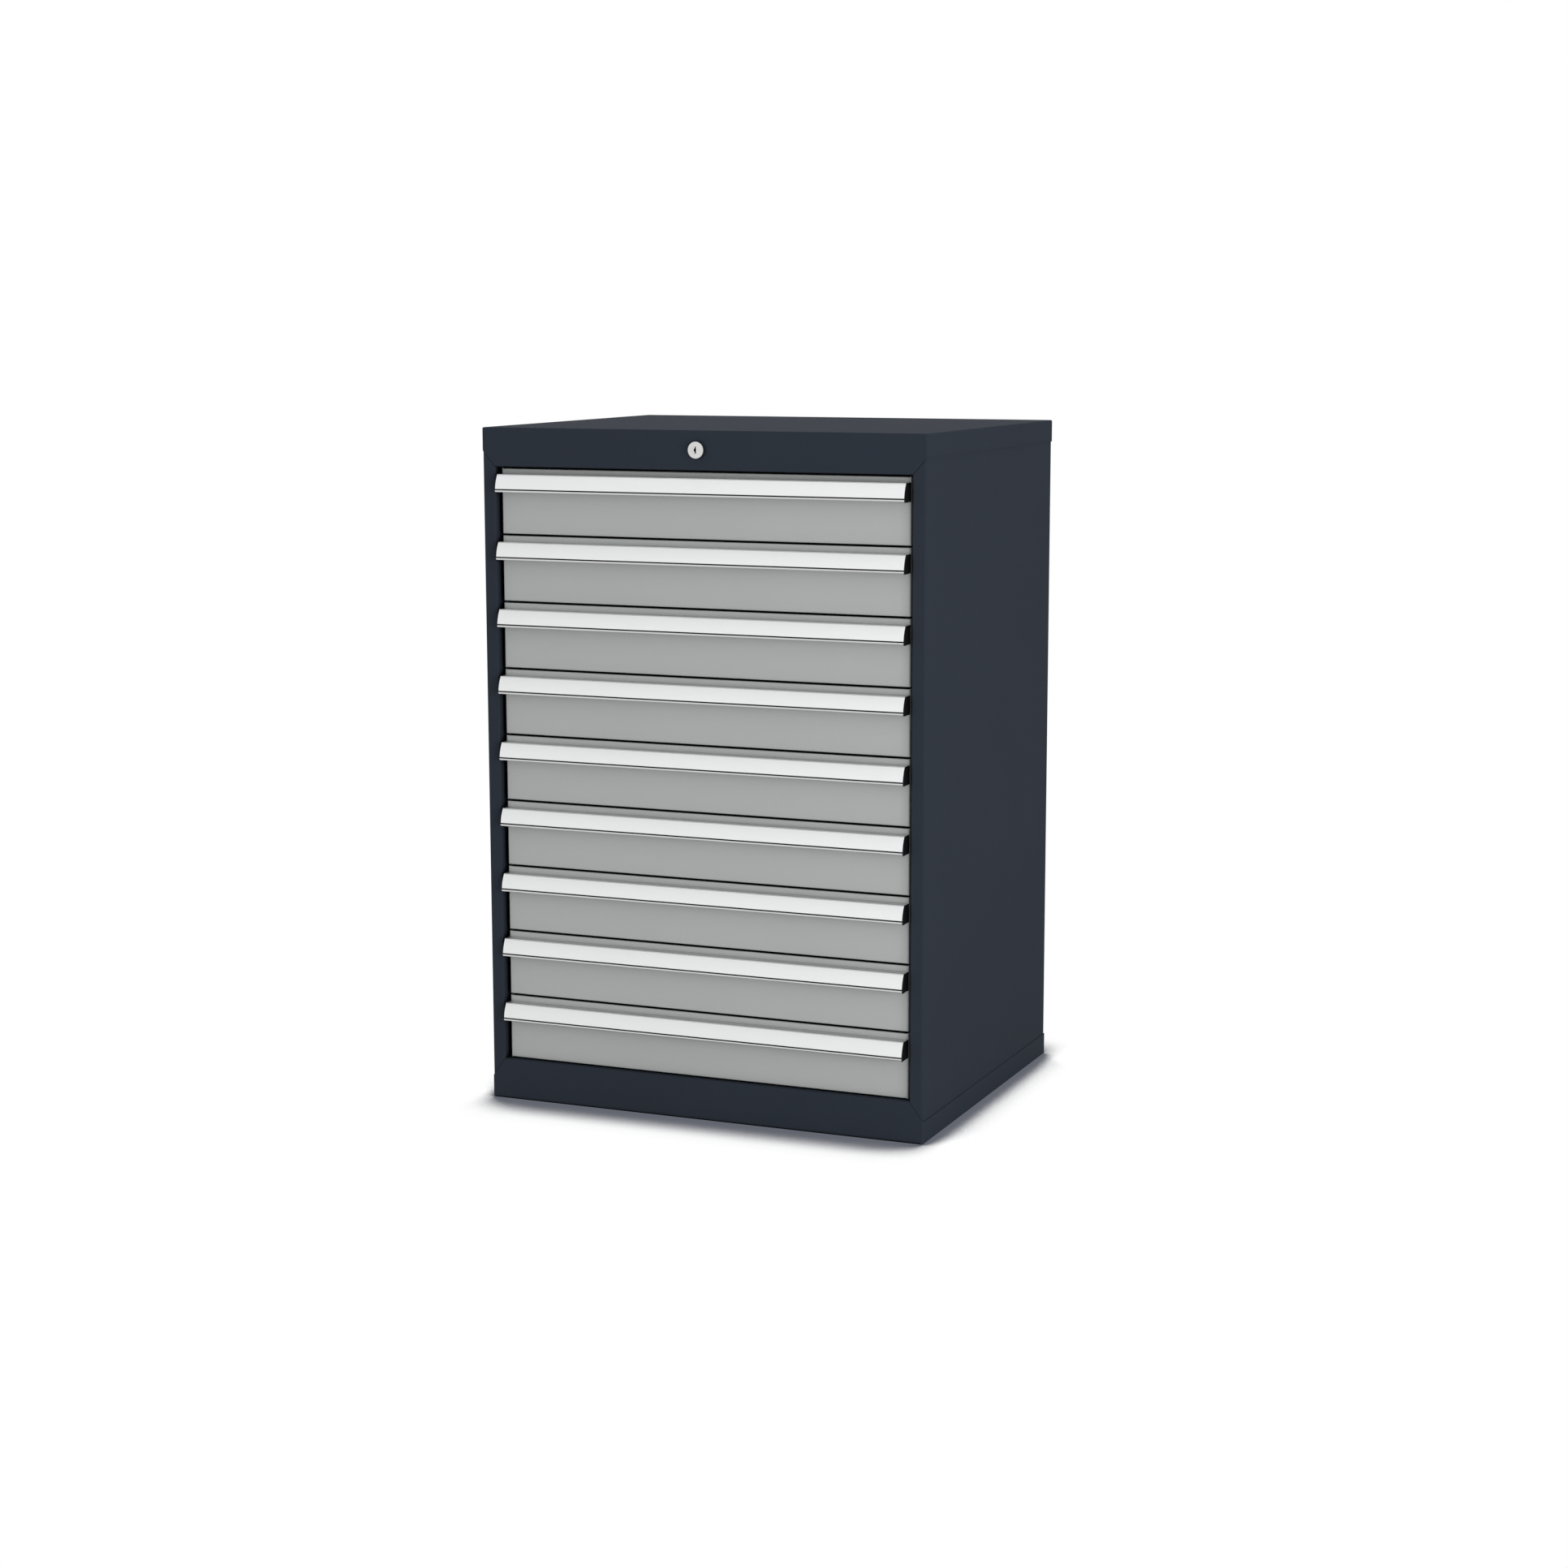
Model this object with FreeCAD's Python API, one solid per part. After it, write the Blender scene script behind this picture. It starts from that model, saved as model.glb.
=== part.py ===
import FreeCAD, Part
import math
import os

# Steel workshop cabinet with nine equal drawers, in millimetres.
# Frame: origin on the floor under the middle of the cabinet, +X to the right as seen from the
# front, +Y towards the back, +Z up. The front of the housing is the plane y = -cabinet_depth / 2.

os.makedirs("parts", exist_ok=True)

# ---------------------------------------------------------------- housing
cabinet_width = 700.0        # over the skirts of the top cover and the base
cabinet_depth = 575.0        # housing only, without the handles
drawer_count = 9
drawer_pitch = 100.0         # height of one drawer place
base_front_height = 62.5     # floor to the drawer opening
top_front_height = 57.5      # drawer opening to the top
skirt_height = 33.5          # sides and back of the top cover and the base
shell_sheet = 1.2
shell_bend = 1.2             # inner bend radius
panel_end_gap = 1.5          # side panels clear of the bends inside the cover and the base
post_width = 21.5            # opening to the outside of the skirts
post_return = 25.0           # post folded back beside the opening
front_lip = 15.0             # fold behind the lower edge of the top cover and above the base front
mitre_gap = 0.8              # seam between the posts and the two front aprons
lip_end_gap = 0.5
rear_flange = 18.0
back_sheet = 1.0
back_edge_gap = 1.5          # back panel clear of the bends round it
floor_hole_radius = 5.5
floor_hole_inset = 55.0

# ---------------------------------------------------------------- drawer front and tray
front_recess = 10.0          # front panel behind the face of the posts
front_side_gap = 5.5
front_gap = 3.0              # between two fronts
front_drop = 0.5             # lower edge of a front above the bottom of its place
front_depth = 18.0
front_sheet = 1.0
front_bend = 1.2
front_return = 18.0          # edges folded in behind the front, which the tray bears on
tray_sheet = 1.0
tray_bend = 1.0
tray_lift = 6.0              # tray bottom above the bottom of its place
tray_height = 80.0
rim_drop = 5.0
side_rim = 6.0
rear_rim = 16.0
catch_depth = 11.0           # drop of the rear rim, which the locking bar catches
rim_web = 8.0                # part of the rear rim that stands on its wall

# ---------------------------------------------------------------- telescopic slides
slide_space = 27.5           # tray wall to the face of the uprights
rail_height = 44.0
rail_depth = 16.0
rail_end_gap = 17.0          # end of the rails in front of the tray's rear wall
rail_setback = 3.0           # rail behind the back of the drawer front
slide_sheet = 1.5
slide_bend = 0.8
slide_lip = 4.0
slide_gap = 0.8              # ball space between two members
runner_stem = 5.0
runner_head = 3.0
upright_width = 30.0
upright_sheet = 1.5
upright_bend = 1.5
upright_gap = 0.5            # front uprights behind the folded posts
hook_width = 12.0
hook_height = 8.0
hook_length = 4.0
hook_offset = 12.0           # hooks above and below the middle of a rail
hook_clearance = 0.3

# ---------------------------------------------------------------- handle
handle_drop = 8.5            # handle below the upper edge of the front
handle_height = 25.7
handle_top_depth = 17.0
handle_depth = 25.0
handle_bulge = 1.7           # rise of the curved face over its chord
handle_wall = 2.0
handle_flange = 14.0         # flange on the front panel
label_recess = 1.2
label_bottom = 23.2          # lower end of the label channel below the handle top
handle_chamfer = 0.4
handle_top_lip = 0.8         # lip over the label channel
handle_lip_round = 0.8
cap_thickness = 1.2
cap_skirt = 1.3              # cap below the handle
cap_plug_length = 8.0
cap_plug_height = 2.5
cap_clearance = 0.2

# ---------------------------------------------------------------- lock
lock_height = 29.5           # lock axis above the drawer opening
lock_face_radius = 12.2
lock_face_length = 8.0
lock_face_round = 1.0
lock_body_radius = 9.4
lock_body_length = 22.0
lock_hole_clearance = 0.1
plug_radius = 6.25
plug_fit = 0.05              # running fit of the plug in the housing
plug_recess = 0.3
plug_tail = 10.0
plug_tail_side = 6.0
plug_tail_fit = 0.05
keyway_height = 9.8
keyway_width = 2.0
keyway_ward_width = 1.4      # beside the slot
keyway_ward_height = 4.4
keyway_depth = 16.0
nut_across = 24.0
nut_length = 5.0
rod_radius = 4.0
rod_fit = 0.08
rod_sleeve_radius = 7.0
rod_sleeve_length = 14.0
rod_sleeve_gap = 1.0
bar_lift = 16.0              # rise of the locking bar over a quarter turn
crank_rest_angle = 45.0      # crank below level when the drawers are free
bar_width = 40.0
bar_thickness = 3.0
bar_tail = 20.0
bar_head = 4.0               # bar above the lock axis at rest
bar_gap = 2.0                # crank to bar
crank_thickness = 4.0
crank_width = 10.0
pin_radius = 3.0
pin_overhang = 1.5
slot_clearance = 0.5
finger_width = 24.0
finger_thickness = 3.0
finger_height = 12.0         # upright tongue of each locking finger
finger_clearance = 1.0       # tongue under the rim when it is raised
finger_gap = 7.0             # tray rear wall to the tongue
bar_to_rim = 11.5            # rear rim to the front of the bar
guide_depth = 13.1           # locking bar to the back panel
guide_height = 30.0
guide_wall = 8.0
guide_lip = 3.0
guide_fit = 0.4
bearing_width = 30.0
bearing_sheet = 3.0
bearing_foot = 25.0
bearing_to_crank = 4.0
bearing_below = 10.0

# ---------------------------------------------------------------- worked out
half_width = cabinet_width / 2
front_y = -cabinet_depth / 2
back_y = cabinet_depth / 2
opening_bottom = base_front_height
opening_top = opening_bottom + drawer_count * drawer_pitch
cabinet_height = opening_top + top_front_height
top_skirt_z = cabinet_height - skirt_height
opening_half = half_width - post_width
side_x = half_width - shell_sheet            # outer face of the side panels
side_back_y = back_y - shell_sheet           # outer face of their rear flanges
panel_y = front_y + front_recess             # face of the drawer fronts
tray_y = panel_y + front_depth
tray_half = opening_half - slide_space       # outer face of the tray walls
front_half = opening_half - front_side_gap
front_height = drawer_pitch - front_gap
rail_y = tray_y + rail_setback
slide_centre = tray_lift + tray_height / 2   # above the bottom of a drawer place
upright_front_y = front_y + post_return + upright_gap
back_face_y = side_back_y - shell_sheet - back_sheet
bar_y = back_face_y - guide_depth - bar_thickness    # front face of the locking bar
rim_back_y = bar_y - bar_to_rim
tray_back_y = rim_back_y - rear_rim
rail_end_y = tray_back_y - rail_end_gap
upright_rear_y = rail_end_y - upright_width
lock_z = opening_top + lock_height
crank_radius = bar_lift / 2 / math.sin(math.radians(crank_rest_angle))
crank_y = bar_y - bar_gap                    # back face of the crank
tongue_y = tray_back_y + finger_gap
far = 2 * (cabinet_width + cabinet_depth)    # longer than anything that is cut


def place_bottom(number):
    """Bottom of a drawer place; drawer 1 is the top one."""
    return opening_bottom + (drawer_count - number) * drawer_pitch


def box(x0, x1, y0, y1, z0, z1):
    return Part.makeBox(x1 - x0, y1 - y0, z1 - z0, FreeCAD.Vector(x0, y0, z0))


def cylinder_y(radius, x, z, y0, y1):
    return Part.makeCylinder(radius, y1 - y0, FreeCAD.Vector(x, y0, z), FreeCAD.Vector(0, 1, 0))


def mirrored(shape):
    """The same piece for the left side."""
    return shape.mirror(FreeCAD.Vector(0, 0, 0), FreeCAD.Vector(1, 0, 0))


def fused(shapes):
    return shapes[0].multiFuse(shapes[1:]).removeSplitter()


def point(u, v, along):
    """A point of a section drawn across the X, Y or Z axis."""
    places = {"x": (0, u, v), "y": (u, 0, v), "z": (u, v, 0)}
    return FreeCAD.Vector(*places[along])


def line(a, b, along):
    return Part.makeLine(point(a[0], a[1], along), point(b[0], b[1], along))


def arc(a, middle, b, along):
    ends = [point(p[0], p[1], along) for p in (a, middle, b)]
    return Part.Arc(ends[0], ends[1], ends[2]).toShape()


def prism(edges, along, start, end):
    """A closed section, pulled from start to end along its axis."""
    directions = {"x": (1, 0, 0), "y": (0, 1, 0), "z": (0, 0, 1)}
    direction = FreeCAD.Vector(*directions[along])
    face = Part.Face(Part.Wire(edges))
    face.translate(direction * start)
    return face.extrude(direction * (end - start))


def polygon_prism(corners, along, start, end):
    edges = [line(a, b, along) for a, b in zip(corners, corners[1:] + corners[:1])]
    return prism(edges, along, start, end)


def folded_strip(corners, sheet, bend, along, start, end):
    """Folded sheet. The corners lie on one face, and the sheet is to the left of their direction."""
    near = [corners[0]]
    far_side = []
    near_edges = []
    far_edges = []
    for before, corner, after in zip(corners, corners[1:], corners[2:]):
        length_in = math.dist(before, corner)
        length_out = math.dist(corner, after)
        into = ((corner[0] - before[0]) / length_in, (corner[1] - before[1]) / length_in)
        out = ((after[0] - corner[0]) / length_out, (after[1] - corner[1]) / length_out)
        turn = into[0] * out[1] - into[1] * out[0]
        side = 1 if turn > 0 else -1
        near_radius = bend + sheet if turn > 0 else bend
        setback = near_radius * math.tan(math.acos(into[0] * out[0] + into[1] * out[1]) / 2)
        begin = (corner[0] - into[0] * setback, corner[1] - into[1] * setback)
        finish = (corner[0] + out[0] * setback, corner[1] + out[1] * setback)
        centre = (begin[0] - into[1] * near_radius * side, begin[1] + into[0] * near_radius * side)
        reach = math.dist(centre, corner)
        outward = ((corner[0] - centre[0]) / reach, (corner[1] - centre[1]) / reach)
        far_radius = near_radius - sheet * side
        middle = (centre[0] + outward[0] * near_radius, centre[1] + outward[1] * near_radius)
        far_middle = (centre[0] + outward[0] * far_radius, centre[1] + outward[1] * far_radius)
        far_begin = (begin[0] - into[1] * sheet, begin[1] + into[0] * sheet)
        far_finish = (finish[0] - out[1] * sheet, finish[1] + out[0] * sheet)
        if not far_side:
            far_side.append((before[0] - into[1] * sheet, before[1] + into[0] * sheet))
        near_edges.append(line(near[-1], begin, along))
        near_edges.append(arc(begin, middle, finish, along))
        far_edges.append(line(far_side[-1], far_begin, along))
        far_edges.append(arc(far_begin, far_middle, far_finish, along))
        near.append(finish)
        far_side.append(far_finish)
    last = corners[-1]
    far_last = (last[0] - out[1] * sheet, last[1] + out[0] * sheet)
    near_edges.append(line(near[-1], last, along))
    near_edges.append(line(last, far_last, along))
    far_edges.append(line(far_side[-1], far_last, along))
    loop = near_edges + far_edges[::-1] + [line(far_side[0], corners[0], along)]
    return prism(loop, along, start, end)


def edges_along(shape, axes):
    """Edges of a box that run along the axes named."""
    directions = {"x": 0, "y": 1, "z": 2}
    wanted = [directions[axis] for axis in axes]
    chosen = []
    for edge in shape.Edges:
        course = edge.Vertexes[1].Point - edge.Vertexes[0].Point
        lengths = [abs(course.x), abs(course.y), abs(course.z)]
        if lengths.index(max(lengths)) in wanted:
            chosen.append(edge)
    return chosen


def sheet_box(x0, x1, y0, y1, z0, z1, sheet, bend, bent):
    """Closed box of sheet, to be cut open. It is bent along the axes named, the rest are square seams."""
    outside = box(x0, x1, y0, y1, z0, z1)
    outside = outside.makeFillet(bend + sheet, edges_along(outside, bent))
    inside = box(x0 + sheet, x1 - sheet, y0 + sheet, y1 - sheet, z0 + sheet, z1 - sheet)
    inside = inside.makeFillet(bend, edges_along(inside, bent))
    return outside.cut(inside)


def save(name, *pieces):
    """One STEP file for a piece, or for a group of pieces that belong together."""
    for piece in pieces:
        if not piece.isValid() or len(piece.Solids) != 1 or piece.Volume <= 0:
            raise ValueError(name + " is not one sound solid")
    shape = pieces[0] if len(pieces) == 1 else Part.makeCompound(list(pieces))
    shape.exportStep("parts/" + name + ".step")


# ---------------------------------------------------------------- housing pieces
def above_mitre(gap):
    """Space over the seam between the right post and the apron of the top cover, at the front."""
    corners = [
        (opening_half - post_width, opening_top - gap),
        (opening_half, opening_top - gap),
        (half_width + post_width, top_skirt_z + (top_skirt_z - opening_top) - gap),
        (half_width + post_width, cabinet_height + post_width),
        (opening_half - post_width, cabinet_height + post_width),
    ]
    return polygon_prism(corners, "y", front_y - shell_sheet, front_y + shell_sheet + mitre_gap)


def below_mitre(gap):
    """Space under the seam between the right post and the front of the base."""
    corners = [
        (opening_half - post_width, opening_bottom + gap),
        (opening_half - post_width, -post_width),
        (half_width + post_width, -post_width),
        (half_width + post_width, skirt_height - (opening_bottom - skirt_height) + gap),
        (opening_half, opening_bottom + gap),
    ]
    return polygon_prism(corners, "y", front_y - shell_sheet, front_y + shell_sheet + mitre_gap)


def corner_relief(low, high):
    """Room for the inner bend of a skirt at its front corner, taken off the right post."""
    depth = shell_sheet + shell_bend + mitre_gap
    return box(side_x - depth, half_width, front_y - depth, front_y + depth, low, high)


def side_panel():
    """Right side wall, folded round the front into the post and its return, and at the back."""
    corners = [
        (opening_half, front_y + post_return),
        (opening_half, front_y),
        (side_x, front_y),
        (side_x, side_back_y),
        (side_x - rear_flange, side_back_y),
    ]
    low = shell_sheet + panel_end_gap
    panel = folded_strip(corners, shell_sheet, shell_bend, "z", low, cabinet_height - low)
    panel = panel.cut(above_mitre(mitre_gap)).cut(below_mitre(mitre_gap))
    panel = panel.cut(corner_relief(top_skirt_z - mitre_gap, far))
    return panel.cut(corner_relief(-far, skirt_height + mitre_gap))


def back_panel():
    half = side_x - shell_sheet - back_edge_gap
    low = shell_sheet + back_edge_gap
    return box(-half, half, back_face_y, back_face_y + back_sheet, low, cabinet_height - low)


def top_cover():
    """Hood with a deep front apron, whose ends are mitred, and a skirt round the other sides."""
    cover = sheet_box(-half_width, half_width, front_y, back_y, opening_top, cabinet_height,
                      shell_sheet, shell_bend, "xyz")
    cover = cover.cut(box(-far, far, front_y + front_lip, far, opening_top - far, top_skirt_z))
    for side in (-1, 1):
        outer = side * far
        inner = side * (opening_half - lip_end_gap)
        ends = box(min(inner, outer), max(inner, outer), front_y + shell_sheet, far,
                   opening_top - far, top_skirt_z)
        cover = cover.cut(ends)
    corner = polygon_prism(
        [
            (opening_half, opening_top),
            (half_width + post_width, top_skirt_z + (top_skirt_z - opening_top)),
            (half_width + post_width, opening_top - post_width),
            (opening_half, opening_top - post_width),
        ],
        "y", front_y - shell_sheet, front_y + shell_sheet + shell_bend)
    under_skirt = box(half_width - post_width, far, front_y - far, far, opening_top - far, top_skirt_z)
    corner = corner.common(under_skirt)
    cover = cover.cut(corner).cut(mirrored(corner))
    hole = cylinder_y(lock_body_radius + lock_hole_clearance, 0, lock_z,
                      front_y - shell_sheet, front_y + 2 * shell_sheet)
    return cover.cut(hole)


def base_pan():
    """Tray-shaped base: floor plate, tall front with mitred ends, and a skirt round the rest."""
    base = sheet_box(-half_width, half_width, front_y, back_y, 0, opening_bottom,
                     shell_sheet, shell_bend, "xyz")
    base = base.cut(box(-far, far, front_y + front_lip, far, skirt_height, far))
    for side in (-1, 1):
        outer = side * far
        inner = side * (opening_half - lip_end_gap)
        ends = box(min(inner, outer), max(inner, outer), front_y + shell_sheet, far,
                   skirt_height, far)
        base = base.cut(ends)
    corner = polygon_prism(
        [
            (opening_half, opening_bottom),
            (opening_half, opening_bottom + post_width),
            (half_width + post_width, opening_bottom + post_width),
            (half_width + post_width, skirt_height - (opening_bottom - skirt_height)),
        ],
        "y", front_y - shell_sheet, front_y + shell_sheet + shell_bend)
    over_skirt = box(half_width - post_width, far, front_y - far, far, skirt_height, far)
    corner = corner.common(over_skirt)
    base = base.cut(corner).cut(mirrored(corner))
    for x in (-half_width + floor_hole_inset, half_width - floor_hole_inset):
        for y in (front_y + floor_hole_inset, back_y - floor_hole_inset):
            hole = Part.makeCylinder(floor_hole_radius, 3 * shell_sheet, FreeCAD.Vector(x, y, -shell_sheet))
            base = base.cut(hole)
    return base


# ---------------------------------------------------------------- slides
def rail_middle(number):
    return place_bottom(number) + slide_centre


def hook_places():
    """Middle of each hook along the rail, one at each upright."""
    return [upright_front_y + upright_width / 2, upright_rear_y + upright_width / 2]


def hook_box(y, z, clearance, depth):
    return box(opening_half - upright_sheet, opening_half + depth,
               y - hook_width / 2 - clearance, y + hook_width / 2 + clearance,
               z - hook_height / 2 - clearance, z + hook_height / 2 + clearance)


def upright(y0):
    """Right upright: a channel with its back to the side panel and slots for the rail hooks."""
    x_out = side_x - shell_sheet
    corners = [
        (x_out, y0 + upright_width),
        (opening_half, y0 + upright_width),
        (opening_half, y0),
        (x_out, y0),
    ]
    channel = folded_strip(corners, upright_sheet, upright_bend, "z",
                           shell_sheet, cabinet_height - shell_sheet)
    slots = []
    for number in range(1, drawer_count + 1):
        for z in (rail_middle(number) - hook_offset, rail_middle(number) + hook_offset):
            slots.append(hook_box(y0 + upright_width / 2, z, hook_clearance, hook_length))
    return channel.cut(Part.makeCompound(slots))


def channel_member(x_web, x_lip, half_height, middle):
    """Channel that opens towards the tray, with its edges turned in, as on the right side."""
    corners = [
        (x_lip, middle - half_height + slide_lip),
        (x_lip, middle - half_height),
        (x_web, middle - half_height),
        (x_web, middle + half_height),
        (x_lip, middle + half_height),
        (x_lip, middle + half_height - slide_lip),
    ]
    return folded_strip(corners, slide_sheet, slide_bend, "y", rail_y, rail_end_y)


def cabinet_rail(number):
    """Fixed right member of one slide, hooked into both uprights."""
    middle = rail_middle(number)
    rail = channel_member(opening_half, opening_half - rail_depth, rail_height / 2, middle)
    hooks = [hook_box(y, middle + offset, 0, hook_length)
             for y in hook_places() for offset in (-hook_offset, hook_offset)]
    return fused([rail] + hooks)


def middle_member(number):
    """Right middle member, which runs in the fixed one and carries the runner of the tray."""
    inset = slide_sheet + slide_gap
    return channel_member(opening_half - inset, opening_half - rail_depth + inset,
                          rail_height / 2 - inset, rail_middle(number))


def runner(number):
    """T-section runner welded to the right wall of the tray."""
    middle = rail_middle(number)
    inset = 2 * (slide_sheet + slide_gap)
    head_x = opening_half - rail_depth + inset
    head_half = rail_height / 2 - inset
    stem = box(tray_half, head_x + runner_head / 2, rail_y, rail_end_y,
               middle - runner_stem / 2, middle + runner_stem / 2)
    head = box(head_x, head_x + runner_head, rail_y, rail_end_y, middle - head_half, middle + head_half)
    return fused([stem, head])


# ---------------------------------------------------------------- drawer pieces
def drawer_tray(number):
    """Sheets of an open steel tray, welded at square seams: floor, walls, rear rim and runners."""
    low = place_bottom(number) + tray_lift
    top = low + tray_height
    inner = tray_half - tray_sheet
    floor = box(-inner, inner, tray_y + tray_sheet, tray_back_y - tray_sheet, low, low + tray_sheet)
    front_wall = box(-inner, inner, tray_y, tray_y + tray_sheet, low, top)
    rear_wall = box(-inner, inner, tray_back_y - tray_sheet, tray_back_y, low, top - rim_web)
    side_wall = folded_strip(
        [
            (tray_half + side_rim, top - rim_drop),
            (tray_half + side_rim, top),
            (inner, top),
            (inner, low),
        ],
        tray_sheet, tray_bend, "y", tray_y, tray_back_y)
    rear_rim_strip = folded_strip(
        [
            (rim_back_y, top - catch_depth),
            (rim_back_y, top),
            (tray_back_y - tray_sheet, top),
            (tray_back_y - tray_sheet, top - rim_web),
        ],
        tray_sheet, tray_bend, "x", -inner, inner)
    right_runner = runner(number)
    return [floor, front_wall, rear_wall, rear_rim_strip, side_wall, mirrored(side_wall),
            right_runner, mirrored(right_runner)]


def drawer_front(number):
    """Front panel folded back on all four sides, and in again behind, with seams at the corners."""
    low = place_bottom(number) + front_drop
    top = low + front_height
    panel = sheet_box(-front_half, front_half, panel_y, tray_y, low, top, front_sheet, front_bend, "xz")
    window = box(front_return - front_half, front_half - front_return, tray_y - 2 * front_sheet, far,
                 low + front_return, top - front_return)
    return panel.cut(window)


def face_circle():
    """Centre and radius of the curved face of the handle, from its chord and its bulge."""
    top = (-handle_top_depth, 0.0)
    bottom = (-handle_depth, -label_bottom)
    chord = math.dist(top, bottom)
    radius = (chord * chord / 4 + handle_bulge * handle_bulge) / (2 * handle_bulge)
    along = ((bottom[0] - top[0]) / chord, (bottom[1] - top[1]) / chord)
    middle = ((top[0] + bottom[0]) / 2, (top[1] + bottom[1]) / 2)
    inward = radius - handle_bulge
    return (middle[0] - along[1] * inward, middle[1] + along[0] * inward), radius


def face_point(drop, inset, top_z):
    """Point of the handle face at a drop below the handle top, moved in by an inset."""
    centre, radius = face_circle()
    reach = radius - inset
    depth = centre[0] - math.sqrt(reach * reach - (-drop - centre[1]) ** 2)
    return (panel_y + depth, top_z - drop)


def face_arc(first_drop, last_drop, inset, top_z):
    ends = [face_point(drop, inset, top_z)
            for drop in (first_drop, (first_drop + last_drop) / 2, last_drop)]
    return arc(ends[0], ends[1], ends[2], "x"), ends[0], ends[2]


def handle_top(number):
    return place_bottom(number) + front_drop + front_height - handle_drop


def drawer_handle(number):
    """Extruded grip strip with a shallow channel for a label along its curved face."""
    top_z = handle_top(number)
    low_z = top_z - handle_height
    inner = label_recess + handle_wall
    channel, channel_top, channel_end = face_arc(handle_top_lip, label_bottom, label_recess, top_z)
    hollow, hollow_low, hollow_top = face_arc(handle_height, handle_wall, inner, top_z)
    lip_y = face_point(label_bottom, 0, top_z)[0]
    outline = [
        (panel_y, top_z),
        (face_point(handle_chamfer, 0, top_z)[0] + handle_chamfer, top_z),
        face_point(handle_chamfer, 0, top_z),
        face_point(handle_top_lip, 0, top_z),
        channel_top,
    ]
    lip = [
        channel_end,
        (lip_y, channel_end[1]),
        (lip_y, low_z + handle_lip_round),
        (lip_y + handle_lip_round, low_z),
        hollow_low,
    ]
    back = [
        hollow_top,
        (panel_y - handle_wall, top_z - handle_wall),
        (panel_y - handle_wall, top_z - handle_flange),
        (panel_y, top_z - handle_flange),
        (panel_y, top_z),
    ]
    edges = [line(a, b, "x") for a, b in zip(outline, outline[1:])] + [channel]
    edges += [line(a, b, "x") for a, b in zip(lip, lip[1:])] + [hollow]
    edges += [line(a, b, "x") for a, b in zip(back, back[1:])]
    half = front_half - cap_thickness
    return prism(edges, "x", -half, half)


def end_cap(number):
    """Right plastic cap that closes the end of the handle, with a plug under its top wall."""
    top_z = handle_top(number)
    low_z = top_z - handle_height
    face, face_top, face_low = face_arc(0, label_bottom, 0, top_z)
    around = [
        face_low,
        (face_low[0], low_z - cap_skirt + handle_lip_round),
        (face_low[0] + handle_lip_round, low_z - cap_skirt),
        (panel_y, low_z - cap_skirt),
        (panel_y, top_z),
        face_top,
    ]
    edges = [face] + [line(a, b, "x") for a, b in zip(around, around[1:])]
    plate = prism(edges, "x", front_half - cap_thickness, front_half)
    plug_top = top_z - handle_wall - cap_clearance
    plug = box(front_half - cap_thickness - cap_plug_length, front_half - cap_thickness,
               panel_y - handle_top_depth + label_recess + 2 * handle_wall,
               panel_y - handle_wall - cap_clearance, plug_top - cap_plug_height, plug_top)
    return fused([plate, plug])


# ---------------------------------------------------------------- lock pieces
def lock_housing():
    """Collar in front of the apron and barrel through it, bored for the plug."""
    collar = cylinder_y(lock_face_radius, 0, lock_z, front_y - lock_face_length, front_y)
    rims = [edge for edge in collar.Edges if abs(edge.CenterOfMass.y - front_y + lock_face_length) < 1e-6]
    collar = collar.makeFillet(lock_face_round, rims)
    barrel = cylinder_y(lock_body_radius, 0, lock_z, front_y - lock_face_round, front_y + lock_body_length)
    bore = cylinder_y(plug_radius + plug_fit, 0, lock_z, front_y - far, front_y + far)
    return fused([collar, barrel]).cut(bore)


def lock_nut():
    nut_y = front_y + shell_sheet
    radius = nut_across / math.sqrt(3)
    corners = [(radius * math.cos(math.radians(60 * k)), lock_z + radius * math.sin(math.radians(60 * k)))
               for k in range(6)]
    nut = polygon_prism(corners, "y", nut_y, nut_y + nut_length)
    return nut.cut(cylinder_y(lock_body_radius + lock_hole_clearance, 0, lock_z, nut_y - far, nut_y + far))


def lock_plug():
    """Turning plug with a keyway in its face and a square tail at the back."""
    face_y = front_y - lock_face_length + plug_recess
    end_y = front_y + lock_body_length + rod_sleeve_gap
    body = cylinder_y(plug_radius, 0, lock_z, face_y, end_y)
    half = plug_tail_side / 2
    tail = box(-half, half, end_y, end_y + plug_tail, lock_z - half, lock_z + half)
    slot = box(-keyway_width / 2, keyway_width / 2, face_y - keyway_depth, face_y + keyway_depth,
               lock_z - keyway_height / 2, lock_z + keyway_height / 2)
    ward = box(-keyway_width / 2 - keyway_ward_width, 0, face_y - keyway_depth, face_y + keyway_depth,
               lock_z - keyway_ward_height / 2, lock_z + keyway_ward_height / 2)
    return fused([body, tail]).cut(fused([slot, ward]))


def crank_pin():
    """Place of the crank pin at rest: a quarter turn is shared equally below and above level."""
    rest = math.radians(crank_rest_angle)
    return -crank_radius * math.cos(rest), lock_z - crank_radius * math.sin(rest)


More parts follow.
